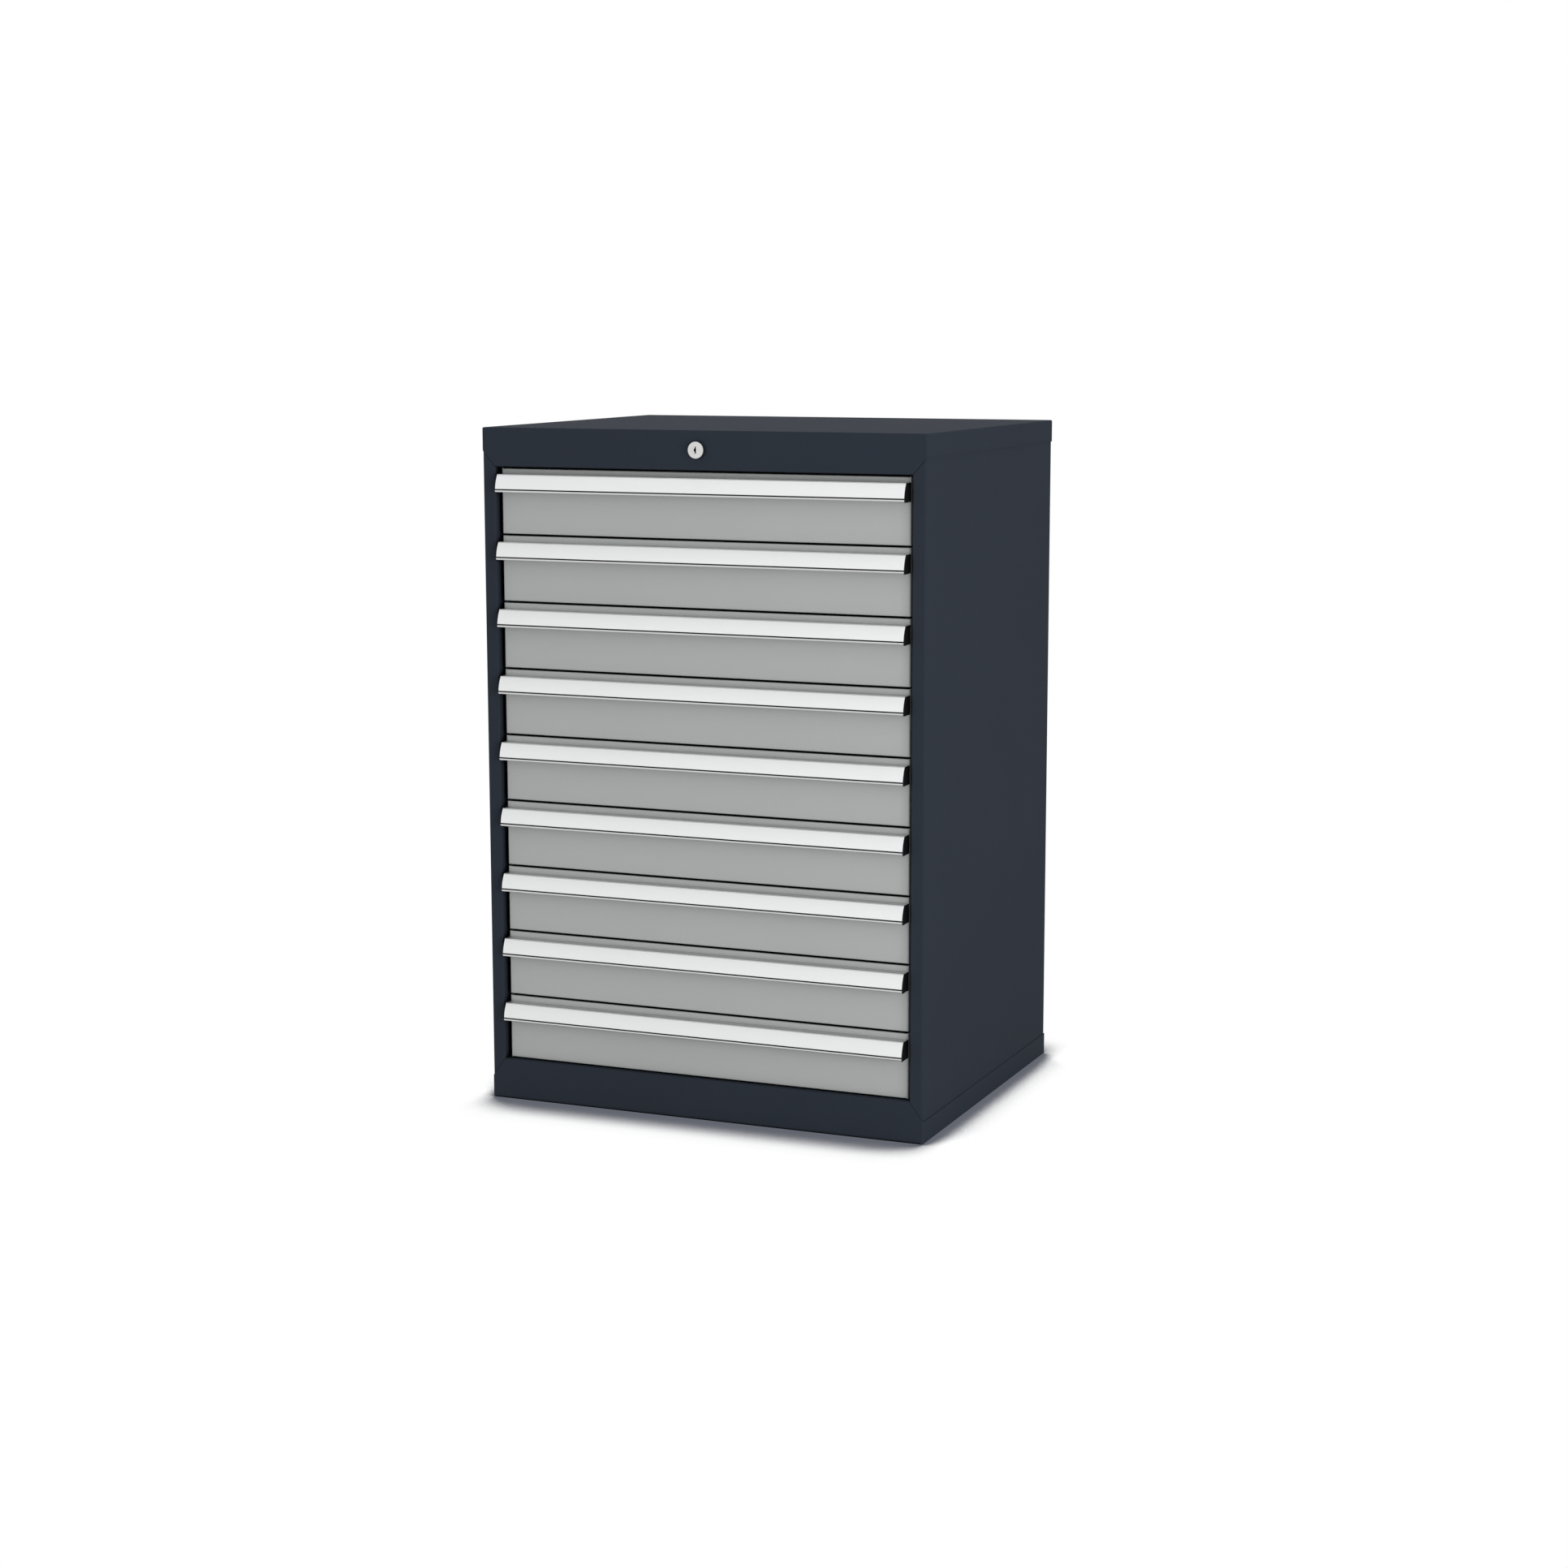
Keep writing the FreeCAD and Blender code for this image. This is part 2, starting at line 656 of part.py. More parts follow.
def lock_rod():
    """Long rod from the plug to the back, with a sleeve in front and a crank and pin behind."""
    sleeve_y = front_y + lock_body_length + rod_sleeve_gap
    sleeve = cylinder_y(rod_sleeve_radius, 0, lock_z, sleeve_y, sleeve_y + rod_sleeve_length)
    half = plug_tail_side / 2 + plug_tail_fit
    socket = box(-half, half, sleeve_y - far, sleeve_y + plug_tail + plug_tail_fit,
                 lock_z - half, lock_z + half)
    rod = cylinder_y(rod_radius, 0, lock_z, sleeve_y + plug_tail + plug_tail_fit, crank_y)
    pin_x, pin_z = crank_pin()
    arm = box(0, crank_radius, crank_y - crank_thickness, crank_y, -crank_width / 2, crank_width / 2)
    arm.rotate(FreeCAD.Vector(0, 0, 0), FreeCAD.Vector(0, 1, 0), 180 - crank_rest_angle)
    arm.translate(FreeCAD.Vector(0, 0, lock_z))
    hub = cylinder_y(crank_width / 2, 0, lock_z, crank_y - crank_thickness, crank_y)
    tip = cylinder_y(crank_width / 2, pin_x, pin_z, crank_y - crank_thickness, crank_y)
    pin = cylinder_y(pin_radius, pin_x, pin_z, crank_y - crank_thickness,
                     bar_y + bar_thickness + pin_overhang)
    return fused([sleeve.cut(socket), rod, arm, hub, tip, pin])


def locking_finger(number):
    """Arm and upright tongue, which rises inside the rear rim of one drawer."""
    rim_top = place_bottom(number) + tray_lift + tray_height
    tongue_top = rim_top - tray_sheet - finger_clearance - bar_lift
    half = finger_width / 2
    arm_top = tongue_top - finger_height
    arm = box(-half, half, tongue_y + finger_thickness, bar_y, arm_top - finger_thickness, arm_top)
    tongue = box(-half, half, tongue_y, tongue_y + finger_thickness, arm_top - finger_thickness, tongue_top)
    return [arm, tongue]


def lock_bar():
    """Upright bar behind the drawers, lifted by the crank pin, with a finger welded on for each."""
    half = bar_width / 2
    low = place_bottom(drawer_count) + tray_lift + tray_height - finger_height - bar_lift - bar_tail
    bar = box(-half, half, bar_y, bar_y + bar_thickness, low, lock_z + bar_head)
    pin_x, pin_z = crank_pin()
    grip = pin_radius + slot_clearance
    slot = box(-crank_radius - grip, pin_x + grip, bar_y - bar_thickness, bar_y + 2 * bar_thickness,
               pin_z - grip, pin_z + grip)
    fingers = [piece for number in range(1, drawer_count + 1) for piece in locking_finger(number)]
    return [bar.cut(slot)] + fingers


def bar_guide(middle_z):
    """Plastic guide on the back panel that holds both edges of the locking bar."""
    half = bar_width / 2
    outer = box(-half - guide_wall, half + guide_wall, bar_y - guide_fit - guide_lip, back_face_y,
                middle_z - guide_height / 2, middle_z + guide_height / 2)
    groove = box(-half - guide_fit, half + guide_fit, bar_y - guide_fit, bar_y + bar_thickness + guide_fit,
                 -far, far)
    window = box(-half + guide_wall, half - guide_wall, -far, bar_y, -far, far)
    return outer.cut(groove).cut(window)


def rod_bearing():
    """Bracket under the top cover that carries the back end of the rod."""
    face_y = crank_y - crank_thickness - bearing_to_crank
    top = cabinet_height - shell_sheet
    half = bearing_width / 2
    bracket = folded_strip(
        [
            (face_y - bearing_foot, top),
            (face_y, top),
            (face_y, lock_z - bearing_below),
        ][::-1],
        bearing_sheet, bearing_sheet, "x", -half, half)
    hole = cylinder_y(rod_radius + rod_fit, 0, lock_z, face_y - far, face_y + far)
    return bracket.cut(hole)


# ---------------------------------------------------------------- build
right_panel = side_panel()
save("right_side_panel", right_panel)
save("left_side_panel", mirrored(right_panel))
save("back_panel", back_panel())
save("top_cover", top_cover())
save("base_pan", base_pan())

right_uprights = [upright(upright_front_y), upright(upright_rear_y)]
save("slide_uprights", *right_uprights, *[mirrored(piece) for piece in right_uprights])

drawer_numbers = range(1, drawer_count + 1)
rails = [cabinet_rail(number) for number in drawer_numbers]
save("right_slide_rails", *rails)
save("left_slide_rails", *[mirrored(rail) for rail in rails])

save("lock_housing", lock_housing())
save("lock_nut", lock_nut())
save("lock_plug", lock_plug())
save("lock_rod", lock_rod())
save("lock_rod_bearing", rod_bearing())
save("lock_bar", *lock_bar())
guide_numbers = (1, (drawer_count + 1) // 2, drawer_count)
guides = [bar_guide(place_bottom(number) + tray_lift + guide_height) for number in guide_numbers]
save("lock_bar_guides", *guides)

for number in drawer_numbers:
    name = "drawer_" + str(number)
    member = middle_member(number)
    cap = end_cap(number)
    save(name + "_tray", *drawer_tray(number))
    save(name + "_front", drawer_front(number))
    save(name + "_handle", drawer_handle(number))
    save(name + "_end_caps", cap, mirrored(cap))
    save(name + "_slides", member, mirrored(member))
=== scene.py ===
# %% [markdown]
# # A steel workshop cabinet with nine drawers
#
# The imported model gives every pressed, welded and turned piece at its real size. This lesson dresses
# it: each finish is a node material, and the small pieces that a sheet-metal drawing leaves out
# (label strips and rivets) are modelled here and tied to the body that they move with.
# All lengths are in metres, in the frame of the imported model.

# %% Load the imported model
import math

import bmesh
import bpy
from mathutils import Euler, Matrix, Vector


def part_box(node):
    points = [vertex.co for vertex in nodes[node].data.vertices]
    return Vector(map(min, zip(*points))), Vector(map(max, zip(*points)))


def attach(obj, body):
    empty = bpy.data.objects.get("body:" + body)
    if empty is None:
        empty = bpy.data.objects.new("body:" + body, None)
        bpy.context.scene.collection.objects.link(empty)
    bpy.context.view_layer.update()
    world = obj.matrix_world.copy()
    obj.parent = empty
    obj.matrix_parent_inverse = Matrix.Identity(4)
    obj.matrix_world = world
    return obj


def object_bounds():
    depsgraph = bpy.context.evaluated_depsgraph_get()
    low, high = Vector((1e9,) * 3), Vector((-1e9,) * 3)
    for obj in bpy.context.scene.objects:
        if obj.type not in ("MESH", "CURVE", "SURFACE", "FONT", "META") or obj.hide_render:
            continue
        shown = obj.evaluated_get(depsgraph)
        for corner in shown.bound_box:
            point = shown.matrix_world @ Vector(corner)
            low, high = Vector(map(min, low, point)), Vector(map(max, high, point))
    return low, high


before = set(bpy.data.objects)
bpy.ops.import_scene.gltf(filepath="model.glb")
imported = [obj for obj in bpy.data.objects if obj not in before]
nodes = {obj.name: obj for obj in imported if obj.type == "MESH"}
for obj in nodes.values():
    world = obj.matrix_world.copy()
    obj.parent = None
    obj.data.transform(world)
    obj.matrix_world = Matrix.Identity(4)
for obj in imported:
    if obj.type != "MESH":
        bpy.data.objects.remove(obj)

packed_box = [list(corner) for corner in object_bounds()]
mm = 0.001
drawer_numbers = range(1, 10)
print("packed box", packed_box, "with", len(nodes), "nodes")

# %% [markdown]
# ## The camera
#
# A cabinet this tall is best seen from a little above and from the right, with a portrait lens that
# keeps its uprights nearly upright. The camera's place and turn are set as numbers, because a
# constraint that aims it at the object would hide how far it leans.

# %% Camera
sensor_width, focal_length = 36, 66.94   # millimetres
camera_place = Vector((1.7377, -4.1188, 1.1830))
camera_turn, camera_tilt, camera_roll = 0.3965, 0.1595, -0.0016   # radians

camera_data = bpy.data.cameras.new("studio_camera")
camera_data.sensor_width = sensor_width
camera_data.lens = focal_length
camera = bpy.data.objects.new("studio_camera", camera_data)
bpy.context.scene.collection.objects.link(camera)
turned = Euler((math.pi / 2 - camera_tilt, 0, camera_turn)).to_matrix().to_4x4()
rolled = Matrix.Rotation(camera_roll, 4, "Z")
camera.matrix_world = Matrix.Translation(camera_place) @ turned @ rolled
bpy.context.scene.camera = camera
print("camera", [round(v, 4) for v in camera.matrix_world.translation], "lens", camera_data.lens)

# %% [markdown]
# ## Helpers for node trees
#
# A material and a node group are both trees of nodes, and the same few steps come back in each: feed
# a socket, do a sum, mix two colours. Each could be written out where it is needed. As helpers they
# keep the recipes below short enough to read as a list of what a finish does.

# %% Feed a socket, add a node, do a sum
def feed(tree, socket, value):
    """Link another node's output to the socket, or set a plain value on it."""
    if isinstance(value, bpy.types.NodeSocket):
        tree.links.new(value, socket)
    else:
        socket.default_value = value


def add_node(tree, kind, **settings):
    node = tree.nodes.new(kind)
    for label, value in settings.items():
        setattr(node, label, value)
    return node


def maths(tree, operation, *values):
    """The result of a Math node."""
    node = add_node(tree, "ShaderNodeMath", operation=operation)
    for socket, value in zip(node.inputs, values):
        feed(tree, socket, value)
    return node.outputs[0]


print("socket helpers ready")

# %% Mix colours and numbers
colour_a, colour_b, colour_result = 6, 7, 2   # the colour sockets of a Mix node
black, white = (0, 0, 0, 1), (1, 1, 1, 1)


def mix_colours(tree, mask, below, above):
    """below where the mask is 0, above where it is 1."""
    node = add_node(tree, "ShaderNodeMix", data_type="RGBA")
    feed(tree, node.inputs["Factor"], mask)
    feed(tree, node.inputs[colour_a], below)
    feed(tree, node.inputs[colour_b], above)
    return node.outputs[colour_result]


def mix_numbers(tree, share, first, second):
    node = add_node(tree, "ShaderNodeMix", data_type="FLOAT")
    feed(tree, node.inputs["Factor"], share)
    feed(tree, node.inputs["A"], first)
    feed(tree, node.inputs["B"], second)
    return node.outputs[0]


print("mixing helpers ready")

# %% [markdown]
# ## Surface grain
#
# Paint, plastic and metal all have a fine unevenness, but of different size. It could come from
# pictures, but noise has no seams and stays sharp from close by. One node group makes it for all:
# it gives a mask for small changes of colour, one for roughness, and a height for the Bump node.
# `Stretch` draws the pattern out along X, Y and Z, which turns grains into brush lines.

# %% Node group: surface grain
grain_detail, cloud_detail = 3, 2
grain_height = 0.85   # how high the grain stands where the cloud stands 1


def new_group(name, inputs, outputs):
    group = bpy.data.node_groups.new(name, "ShaderNodeTree")
    for label, kind, value in inputs:
        socket = group.interface.new_socket(label, in_out="INPUT", socket_type=kind)
        socket.default_value = value
    for label, kind in outputs:
        group.interface.new_socket(label, in_out="OUTPUT", socket_type=kind)
    return group, group.nodes.new("NodeGroupInput"), group.nodes.new("NodeGroupOutput")


def noise(tree, position, scale, detail):
    node = add_node(tree, "ShaderNodeTexNoise")
    feed(tree, node.inputs["Vector"], position)
    feed(tree, node.inputs["Scale"], scale)
    feed(tree, node.inputs["Detail"], detail)
    return node.outputs["Fac"]


def build_surface_grain():
    group, given, made = new_group(
        "surface_grain",
        [("Position", "NodeSocketVector", (0, 0, 0)), ("Stretch", "NodeSocketVector", (1, 1, 1)),
         ("Grain Scale", "NodeSocketFloat", 900.0), ("Cloud Scale", "NodeSocketFloat", 6.0)],
        [("Grain", "NodeSocketFloat"), ("Cloud", "NodeSocketFloat"), ("Height", "NodeSocketFloat")])
    drawn_out = add_node(group, "ShaderNodeVectorMath", operation="MULTIPLY")
    feed(group, drawn_out.inputs[0], given.outputs["Position"])
    feed(group, drawn_out.inputs[1], given.outputs["Stretch"])
    grain = noise(group, drawn_out.outputs[0], given.outputs["Grain Scale"], grain_detail)
    cloud = noise(group, given.outputs["Position"], given.outputs["Cloud Scale"], cloud_detail)
    feed(group, made.inputs["Grain"], grain)
    feed(group, made.inputs["Cloud"], cloud)
    feed(group, made.inputs["Height"], maths(group, "MULTIPLY_ADD", grain, grain_height, cloud))
    return group


surface_grain = build_surface_grain()
print("group", surface_grain.name)

# %% [markdown]
# ## Dark gaps
#
# Between two drawer fronts there is a gap of a few millimetres, and hardly any light finds its way
# in. Pale paint passes light on from face to face, so lamps alone would leave the gap grey. The
# Ambient Occlusion node measures how shut in a point is: it is 1 on an open face and falls where
# surfaces close by stand in the way. This group turns low values into a mask that blackens a colour.
# It follows the motion too: once a drawer is pulled out, its edges are open and stay light. Beyond
# `Side`, measured from the middle, nothing is shaded: the outer faces have no gap to be dark in.

# %% Masks from a place
def smooth_mask(tree, value, low, high):
    """0 up to low, 1 from high on, and a smooth step between them."""
    node = add_node(tree, "ShaderNodeMapRange", interpolation_type="SMOOTHSTEP")
    feed(tree, node.inputs["Value"], value)
    feed(tree, node.inputs["From Min"], low)
    feed(tree, node.inputs["From Max"], high)
    return node.outputs[0]


def off_centre(tree, position):
    """How far a point lies to the right or left of the cabinet's middle."""
    parts = add_node(tree, "ShaderNodeSeparateXYZ")
    feed(tree, parts.inputs[0], position)
    return maths(tree, "ABSOLUTE", parts.outputs["X"])


print("mask helpers ready")

# %% Node group: gap shade
gap_reach, gap_samples = 12 * mm, 8


def build_gap_shade():
    group, given, made = new_group(
        "gap_shade",
        [("Colour", "NodeSocketColor", white), ("Position", "NodeSocketVector", (0, 0, 0)),
         ("Side", "NodeSocketFloat", 0.3), ("Closed", "NodeSocketFloat", 0.25),
         ("Open", "NodeSocketFloat", 0.5)],
        [("Colour", "NodeSocketColor")])
    near = add_node(group, "ShaderNodeAmbientOcclusion", samples=gap_samples)
    feed(group, near.inputs["Distance"], gap_reach)
    in_open = smooth_mask(group, near.outputs["AO"], given.outputs["Closed"], given.outputs["Open"])
    outside = maths(group, "GREATER_THAN", off_centre(group, given.outputs["Position"]),
                    given.outputs["Side"])
    light = maths(group, "MAXIMUM", in_open, outside)
    feed(group, made.inputs["Colour"], mix_colours(group, light, black, given.outputs["Colour"]))
    return group


gap_shade = build_gap_shade()
print("group", gap_shade.name)

# %% [markdown]
# ## One recipe for a finish
#
# A finish is a pair of nearby colours mixed by the grain, a small range of roughness, and a shallow
# bump. Each finish could be wired by hand, but then a mend would have to be made in all of them.
# Numbers that are the same all over are set on the Principled BSDF's own sockets.

# %% The finish recipe
cloud_share = 0.5   # how much of the colour's change is cloud, the rest being grain
bump_strength = 0.35


def finish(name, dark, light, rough, bump_mm, grain_scale, stretch=(1, 1, 1), cloud_scale=6.0, fixed=()):
    """dark and light are colours, rough is (smooth, coarse), fixed sets sockets by name."""
    material = bpy.data.materials.new(name)
    material.use_nodes = True
    tree = material.node_tree
    shader = tree.nodes["Principled BSDF"]
    for label, value in fixed:
        feed(tree, shader.inputs[label], value)
    place = add_node(tree, "ShaderNodeTexCoord")
    grain = add_node(tree, "ShaderNodeGroup", node_tree=surface_grain)
    feed(tree, grain.inputs["Position"], place.outputs["Object"])
    feed(tree, grain.inputs["Stretch"], stretch)
    feed(tree, grain.inputs["Grain Scale"], grain_scale)
    feed(tree, grain.inputs["Cloud Scale"], cloud_scale)
    share = mix_numbers(tree, cloud_share, grain.outputs["Grain"], grain.outputs["Cloud"])
    feed(tree, shader.inputs["Base Color"], mix_colours(tree, share, (*dark, 1), (*light, 1)))
    roughness = add_node(tree, "ShaderNodeMapRange")
    feed(tree, roughness.inputs["Value"], grain.outputs["Grain"])
    feed(tree, roughness.inputs["To Min"], rough[0])
    feed(tree, roughness.inputs["To Max"], rough[1])
    feed(tree, shader.inputs["Roughness"], roughness.outputs[0])
    bump = add_node(tree, "ShaderNodeBump")
    feed(tree, bump.inputs["Strength"], bump_strength)
    feed(tree, bump.inputs["Distance"], bump_mm * mm)
    feed(tree, bump.inputs["Height"], grain.outputs["Height"])
    feed(tree, shader.inputs["Normal"], bump.outputs[0])
    return material


print("finish recipe ready")

# %% Lay a colour group over a finish, and put finishes on nodes
def over_colour(material, group, **values):
    """Put a colour group between what feeds the Base Color and the shader."""
    tree = material.node_tree
    base = tree.nodes["Principled BSDF"].inputs["Base Color"]
    node = add_node(tree, "ShaderNodeGroup", node_tree=group)
    for label, value in values.items():
        feed(tree, node.inputs[label], value)
    feed(tree, node.inputs["Colour"], base.links[0].from_socket)
    feed(tree, node.inputs["Position"], tree.nodes["Texture Coordinate"].outputs["Object"])
    feed(tree, base, node.outputs["Colour"])
    return node


def per_drawer(part):
    """The names of one part's nodes, from drawer 1 to drawer 9."""
    return [f"drawer_{n}_{part}" for n in drawer_numbers]


def paint_nodes(names, material):
    """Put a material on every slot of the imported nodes."""
    for name in names:
        for slot in nodes[name].material_slots:
            slot.material = material
    print(material.name, "on", len(names), "nodes")


print("painting helpers ready")

# %% [markdown]
# ## Powder coat
#
# The housing is sprayed with dark blue-grey powder and the drawers with light grey. Baked powder
# flows into a very fine orange peel with a low sheen, so the bump is hundredths of a millimetre and
# the specular level is low. A picture of sprayed paint could be wrapped round the sheets, but on
# flat faces this wide its repeats would show.

# %% Powder-coated housing
housing_paint = finish("housing_powder_coat", dark=(0.0259, 0.0322, 0.0436),
                       light=(0.0306, 0.0380, 0.0506), rough=(0.56, 0.68), bump_mm=0.05,
                       grain_scale=650.0, fixed=[("Specular IOR Level", 0.008)])
housing_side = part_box("right_side_panel")[1].x
housing_margin = 3 * mm   # the shading of the gaps ends this far inside the outer faces
over_colour(housing_paint, gap_shade, Side=housing_side - housing_margin, Closed=0.38, Open=0.78)
paint_nodes(["right_side_panel", "left_side_panel", "back_panel", "top_cover", "base_pan"],
            housing_paint)

# %% Powder-coated drawers
drawer_paint = finish("drawer_powder_coat", dark=(0.420, 0.437, 0.430), light=(0.450, 0.467, 0.460),
                      rough=(0.48, 0.60), bump_mm=0.05, grain_scale=650.0,
                      fixed=[("Specular IOR Level", 0.18)])
front_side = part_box("drawer_1_front")[1].x
front_margin = 2 * mm   # the same, for the ends of the fronts
over_colour(drawer_paint, gap_shade, Side=front_side - front_margin, Closed=0.34, Open=0.56)
paint_nodes(per_drawer("tray") + per_drawer("front"), drawer_paint)

# %% [markdown]
# ## Bare metal
#
# The grips are anodised aluminium, drawn through a die, so their faint lines run along X. The
# slides are zinc-plated strip, drawn along Y, with a cloudy bloom. The lock is nickel-plated. The
# lines could be cut into the mesh, but they are finer than a hair, so the grain is drawn out instead.

# %% Grips, slides and lock
grip_metal = finish("anodised_grip", dark=(0.66, 0.67, 0.665), light=(0.72, 0.73, 0.72),
                    rough=(0.34, 0.48), bump_mm=0.01, grain_scale=1600.0, stretch=(0.01, 1, 1),
                    fixed=[("Metallic", 1.0)])
paint_nodes(per_drawer("handle"), grip_metal)
zinc = finish("zinc_plated_steel", dark=(0.42, 0.43, 0.44), light=(0.62, 0.63, 0.63),
              rough=(0.30, 0.52), bump_mm=0.02, grain_scale=420.0, stretch=(1, 0.03, 1),
              cloud_scale=28.0, fixed=[("Metallic", 1.0)])
paint_nodes(["slide_uprights", "right_slide_rails", "left_slide_rails", "lock_rod",
             "lock_rod_bearing", "lock_bar"] + per_drawer("slides"), zinc)


def nickel_finish(name, **settings):
    return finish(name, dark=(0.62, 0.62, 0.61), light=(0.72, 0.72, 0.71), rough=(0.24, 0.34),
                  bump_mm=0.008, grain_scale=1500.0, **settings)


paint_nodes(["lock_housing", "lock_nut"], nickel_finish("nickel_plate", fixed=[("Metallic", 1.0)]))

# %% [markdown]
# ## Black plastic
#
# The end caps of the grips and the guides of the locking bar are moulded in black plastic with a
# sparked grain. A plain black would look like a hole, so the grain changes colour and roughness.

# %% End caps and guides
cap_plastic = finish("black_moulding", dark=(0.0035, 0.0035, 0.0045), light=(0.006, 0.006, 0.0075),
                     rough=(0.50, 0.66), bump_mm=0.05, grain_scale=900.0,
                     fixed=[("Specular IOR Level", 0.2)])
paint_nodes(per_drawer("end_caps") + ["lock_bar_guides"], cap_plastic)

# %% [markdown]
# ## The keyway
#
# The slot for the key is cut deep into the plug, and hardly any light comes back out of it. Lamps
# alone would leave its walls bright, because bare metal mirrors the white room. So this group takes
# the Object coordinate along Y and turns the colour black behind a plane just under the plug's face.
# Its second output is 1 in front of the plane: it makes only the face metallic, so that the walls
# don't mirror either.

# %% Node group: dark behind a plane
slot_black = (0.002, 0.002, 0.002, 1)


def build_dark_behind():
    group, given, made = new_group(
        "dark_behind",
        [("Colour", "NodeSocketColor", white), ("Position", "NodeSocketVector", (0, 0, 0)),
         ("Plane", "NodeSocketFloat", 0.0)],
        [("Colour", "NodeSocketColor"), ("Front", "NodeSocketFloat")])
    parts = add_node(group, "ShaderNodeSeparateXYZ")
    feed(group, parts.inputs[0], given.outputs["Position"])
    front = maths(group, "LESS_THAN", parts.outputs["Y"], given.outputs["Plane"])
    feed(group, made.inputs["Colour"], mix_colours(group, front, slot_black, given.outputs["Colour"]))
    feed(group, made.inputs["Front"], front)
    return group


dark_behind = build_dark_behind()
print("group", dark_behind.name)

# %% The finish of the plug
face_thickness = 0.2 * mm   # how far under the face of the plug the black begins
plug_nickel = nickel_finish("keyed_nickel_plate", fixed=[("Specular IOR Level", 0.0)])
plug_shade = over_colour(plug_nickel, dark_behind,
                         Plane=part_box("lock_plug")[0].y + face_thickness)
plug_tree = plug_nickel.node_tree
feed(plug_tree, plug_tree.nodes["Principled BSDF"].inputs["Metallic"], plug_shade.outputs["Front"])
paint_nodes(["lock_plug"], plug_nickel)

# %% [markdown]
# ## Helpers for new pieces
#
# `settle` moves an object's place into its mesh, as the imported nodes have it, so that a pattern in
# Object coordinates lies still.

# %% Start, settle and copy a piece
def start_clean():
    if bpy.context.mode != "OBJECT":
        bpy.ops.object.mode_set(mode="OBJECT")
    bpy.ops.object.select_all(action="DESELECT")


def settle(piece, name):
    """Apply the place, turn and scale, and name the piece and its mesh."""
    start_clean()
    piece.select_set(True)
    bpy.context.view_layer.objects.active = piece
    bpy.ops.object.transform_apply(location=True, rotation=True, scale=True)
    piece.name = name
    piece.data.name = name
    return piece


def copy_to(piece, shift, name):
    """A copy with its own mesh, shifted in its mesh."""
    twin = piece.copy()
    twin.data = piece.data.copy()
    twin.data.transform(Matrix.Translation(shift))
    twin.name = name
    twin.data.name = name
    bpy.context.scene.collection.objects.link(twin)
    return twin


print("piece helpers ready")

# %% [markdown]
# ## Label strips
#
# Each grip has a shallow channel along its curved face, and a strip of card under clear film slides
# into it from the side. It could be cut out of a tube, but its section is a thin arc, so a narrow
# plane as thick as the strip is laid at the upper end of the channel and spun about the centre of
# the curve.

# %% Where the curve of the grip lies
grip_low, grip_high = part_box("drawer_1_handle")
face_top_depth, face_low_depth = 17.0 * mm, 25.0 * mm   # forward of the back of the grip
channel_low = 23.2 * mm   # below the top of the grip
face_bulge = 1.7 * mm     # how far the arc stands in front of its chord
upper = Vector((0, grip_high.y - face_top_depth, grip_high.z))
lower = Vector((0, grip_high.y - face_low_depth, grip_high.z - channel_low))
chord = lower - upper
curve_radius = (chord.length ** 2 / 4 + face_bulge ** 2) / (2 * face_bulge)
inward = Vector((0, -chord.z, chord.y)).normalized()
curve_centre = (upper + lower) / 2 + inward * (curve_radius - face_bulge)
print("grip curve radius", round(curve_radius / mm, 2), "mm, centre", curve_centre)

# %% Spin one strip
strip_top, strip_low = 0.95 * mm, 23.05 * mm   # below the top of the grip
strip_depth, strip_thickness = 0.2 * mm, 0.9 * mm
strip_play = 0.4 * mm   # what the strip is shorter than the grip
spin_steps = 12
weld_distance = 0.01 * mm


def curve_angle(drop):
    """Angle about the centre of the curve, from straight forward, upwards, at a drop."""
    return math.asin((grip_high.z - drop - curve_centre.z) / (curve_radius - strip_depth))


def spin_label_strip():
    start, end = curve_angle(strip_top), curve_angle(strip_low)
    middle_radius = curve_radius - strip_depth - strip_thickness / 2
    place = curve_centre + Vector((0, -math.cos(start), math.sin(start))) * middle_radius
    start_clean()
    bpy.ops.mesh.primitive_plane_add(size=1, location=(0, place.y, place.z), rotation=(-start, 0, 0))
    strip = bpy.context.object
    strip.scale = (grip_high.x - grip_low.x - strip_play, strip_thickness, 1)
    settle(strip, "drawer_1_label_strip")
    bpy.ops.object.mode_set(mode="EDIT")
    bpy.ops.mesh.select_all(action="SELECT")
    bpy.ops.mesh.spin(steps=spin_steps, angle=end - start, center=curve_centre, axis=(1, 0, 0))
    bpy.ops.mesh.select_all(action="SELECT")
    bpy.ops.mesh.remove_doubles(threshold=weld_distance)
    bpy.ops.mesh.normals_make_consistent(inside=False)
    bpy.ops.object.mode_set(mode="OBJECT")
    return strip


strip = spin_label_strip()
corners = [v.co for v in strip.data.vertices]
print("strip z", min(c.z for c in corners), max(c.z for c in corners),
      "y", min(c.y for c in corners), max(c.y for c in corners))

# %% [markdown]
# ## Card under film
#
# The card is pale. Where its clear film is folded at both ends, a white highlight is painted into its
# colour. Along its lower edge a band of painted shade stands for the dark groove that it sits in, with
# a painted highlight just above it, and a thin line of painted shade runs along the top for the seam.
# These lines could be cut into the mesh, but at a millimetre or two they are simpler as colours.
# They are drawn with the drop below the top of the grip, stored on the mesh, so they bend with the
# arc.

# %% Store the drop on the strip
def mark_drop(strip):
    """Store how far below the top of the grip each point lies, in millimetres, for the material."""
    drops = strip.data.attributes.new("drop", "FLOAT", "POINT")
    for vertex, drop in zip(strip.data.vertices, drops.data):
        drop.value = (grip_high.z - vertex.co.z) / mm


mark_drop(strip)
print("drop stored on", len(strip.data.vertices), "points")
